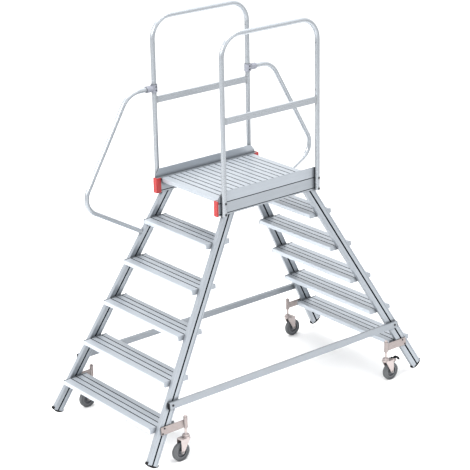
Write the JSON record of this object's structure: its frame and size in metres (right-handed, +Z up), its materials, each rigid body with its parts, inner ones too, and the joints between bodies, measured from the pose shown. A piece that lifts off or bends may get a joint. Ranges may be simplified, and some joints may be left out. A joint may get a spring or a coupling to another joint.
{
  "type": "mobile platform ladder",
  "caption": "Mobile platform ladder with treads rising from both ends to a ribbed deck with guard rails, a handrail on each flight, rubber feet and sprung swivel castors.",
  "frame": {"origin": "on the floor, under the middle of the bounding box", "axes": "+X along the ladder towards the right-hand flight, +Y towards the side with the two handrails, +Z up"},
  "size_m": [2.2242, 1.02, 2.45],
  "materials": {
    "extruded_aluminium": "mill-finish extrusion, fine lines along the length",
    "ribbed_aluminium": "bright ribbed extrusion",
    "tube_aluminium": "satin drawn tube",
    "castor_steel": "zinc plated with a warm passivated tint",
    "spring_steel": "bright wire",
    "cast_clamp": "fine cast surface",
    "red_plastic": "moulded, slight texture",
    "black_plastic": "moulded, matt",
    "dark_fastener": "blackened steel",
    "grey_tyre": "grey rubber",
    "wheel_core": "moulded grey plastic"
  },
  "bodies": {
    "frame": {"stile_nl": "extruded_aluminium", "stile_nr": "extruded_aluminium", "stile_fl": "extruded_aluminium", "stile_fr": "extruded_aluminium", "step_l1": "ribbed_aluminium", "step_l2": "ribbed_aluminium", "step_l3": "ribbed_aluminium", "step_l4": "ribbed_aluminium", "step_l5": "ribbed_aluminium", "step_r1": "ribbed_aluminium", "step_r2": "ribbed_aluminium", "step_r3": "ribbed_aluminium", "step_r4": "ribbed_aluminium", "step_r5": "ribbed_aluminium", "step_end_plates": "extruded_aluminium", "beam_near": "extruded_aluminium", "beam_far": "extruded_aluminium", "deck_planks": "ribbed_aluminium", "toe_boards": "extruded_aluminium", "beam_end_caps": "red_plastic", "railing_near": "tube_aluminium", "railing_far": "tube_aluminium", "mid_rails": "tube_aluminium", "handrail_left": "tube_aluminium", "handrail_right": "tube_aluminium", "handrail_clamps": "cast_clamp", "braces": "extruded_aluminium", "brace_plugs": "black_plastic", "feet": "black_plastic", "frame_bolts": "dark_fastener", "bracket_nl": "castor_steel", "spring_nl": "spring_steel", "bracket_nr": "castor_steel", "spring_nr": "spring_steel", "bracket_fl": "castor_steel", "spring_fl": "spring_steel", "bracket_fr": "castor_steel", "spring_fr": "spring_steel"},
    "stem_nl": {"stem_nl": "castor_steel"},
    "fork_nl": {"fork_nl": "castor_steel", "axle_nl": "castor_steel"},
    "wheel_nl": {"wheel_core_nl": "wheel_core", "tyre_nl": "grey_tyre"},
    "stem_nr": {"stem_nr": "castor_steel"},
    "fork_nr": {"fork_nr": "castor_steel", "axle_nr": "castor_steel"},
    "wheel_nr": {"wheel_core_nr": "wheel_core", "tyre_nr": "grey_tyre"},
    "stem_fl": {"stem_fl": "castor_steel"},
    "fork_fl": {"fork_fl": "castor_steel", "axle_fl": "castor_steel"},
    "wheel_fl": {"wheel_core_fl": "wheel_core", "tyre_fl": "grey_tyre"},
    "stem_fr": {"stem_fr": "castor_steel"},
    "fork_fr": {"fork_fr": "castor_steel", "axle_fr": "castor_steel"},
    "wheel_fr": {"wheel_core_fr": "wheel_core", "tyre_fr": "grey_tyre"},
    "pedal": {"brake_pedal": "black_plastic"}
  },
  "joints": [
    {"name": "stem_slide_nl", "type": "slide", "parent": "frame", "child": "stem_nl", "axis": [0, 0, 1], "range_m": [0, 0.022], "stiffness_N_per_m": 5000, "springref_m": -0.046, "deforming": ["spring_nl"]},
    {"name": "swivel_nl", "type": "hinge", "parent": "stem_nl", "child": "fork_nl", "pos_m": [-0.813, -0.482, 0.15], "axis": [0, 0, 1], "continuous": true},
    {"name": "wheel_spin_nl", "type": "hinge", "parent": "fork_nl", "child": "wheel_nl", "pos_m": [-0.854, -0.482, 0.0575], "axis": [0, -1, 0], "continuous": true},
    {"name": "stem_slide_nr", "type": "slide", "parent": "frame", "child": "stem_nr", "axis": [0, 0, 1], "range_m": [0, 0.022], "stiffness_N_per_m": 5000, "springref_m": -0.046, "deforming": ["spring_nr"]},
    {"name": "swivel_nr", "type": "hinge", "parent": "stem_nr", "child": "fork_nr", "pos_m": [0.813, -0.482, 0.15], "axis": [0, 0, 1], "continuous": true},
    {"name": "wheel_spin_nr", "type": "hinge", "parent": "fork_nr", "child": "wheel_nr", "pos_m": [0.854, -0.482, 0.0575], "axis": [0, 1, 0], "continuous": true},
    {"name": "stem_slide_fl", "type": "slide", "parent": "frame", "child": "stem_fl", "axis": [0, 0, 1], "range_m": [0, 0.022], "stiffness_N_per_m": 5000, "springref_m": -0.046, "deforming": ["spring_fl"]},
    {"name": "swivel_fl", "type": "hinge", "parent": "stem_fl", "child": "fork_fl", "pos_m": [-0.813, 0.482, 0.15], "axis": [0, 0, 1], "continuous": true},
    {"name": "wheel_spin_fl", "type": "hinge", "parent": "fork_fl", "child": "wheel_fl", "pos_m": [-0.854, 0.482, 0.0575], "axis": [0, -1, 0], "continuous": true},
    {"name": "stem_slide_fr", "type": "slide", "parent": "frame", "child": "stem_fr", "axis": [0, 0, 1], "range_m": [0, 0.022], "stiffness_N_per_m": 5000, "springref_m": -0.046, "deforming": ["spring_fr"]},
    {"name": "swivel_fr", "type": "hinge", "parent": "stem_fr", "child": "fork_fr", "pos_m": [0.813, 0.482, 0.15], "axis": [0, 0, 1], "continuous": true},
    {"name": "wheel_spin_fr", "type": "hinge", "parent": "fork_fr", "child": "wheel_fr", "pos_m": [0.854, 0.482, 0.0575], "axis": [0, 1, 0], "continuous": true},
    {"name": "brake_pivot", "type": "hinge", "parent": "fork_nr", "child": "pedal", "pos_m": [0.881, -0.482, 0.131], "axis": [0, 1, 0], "range_deg": [0, 14]}
  ]
}
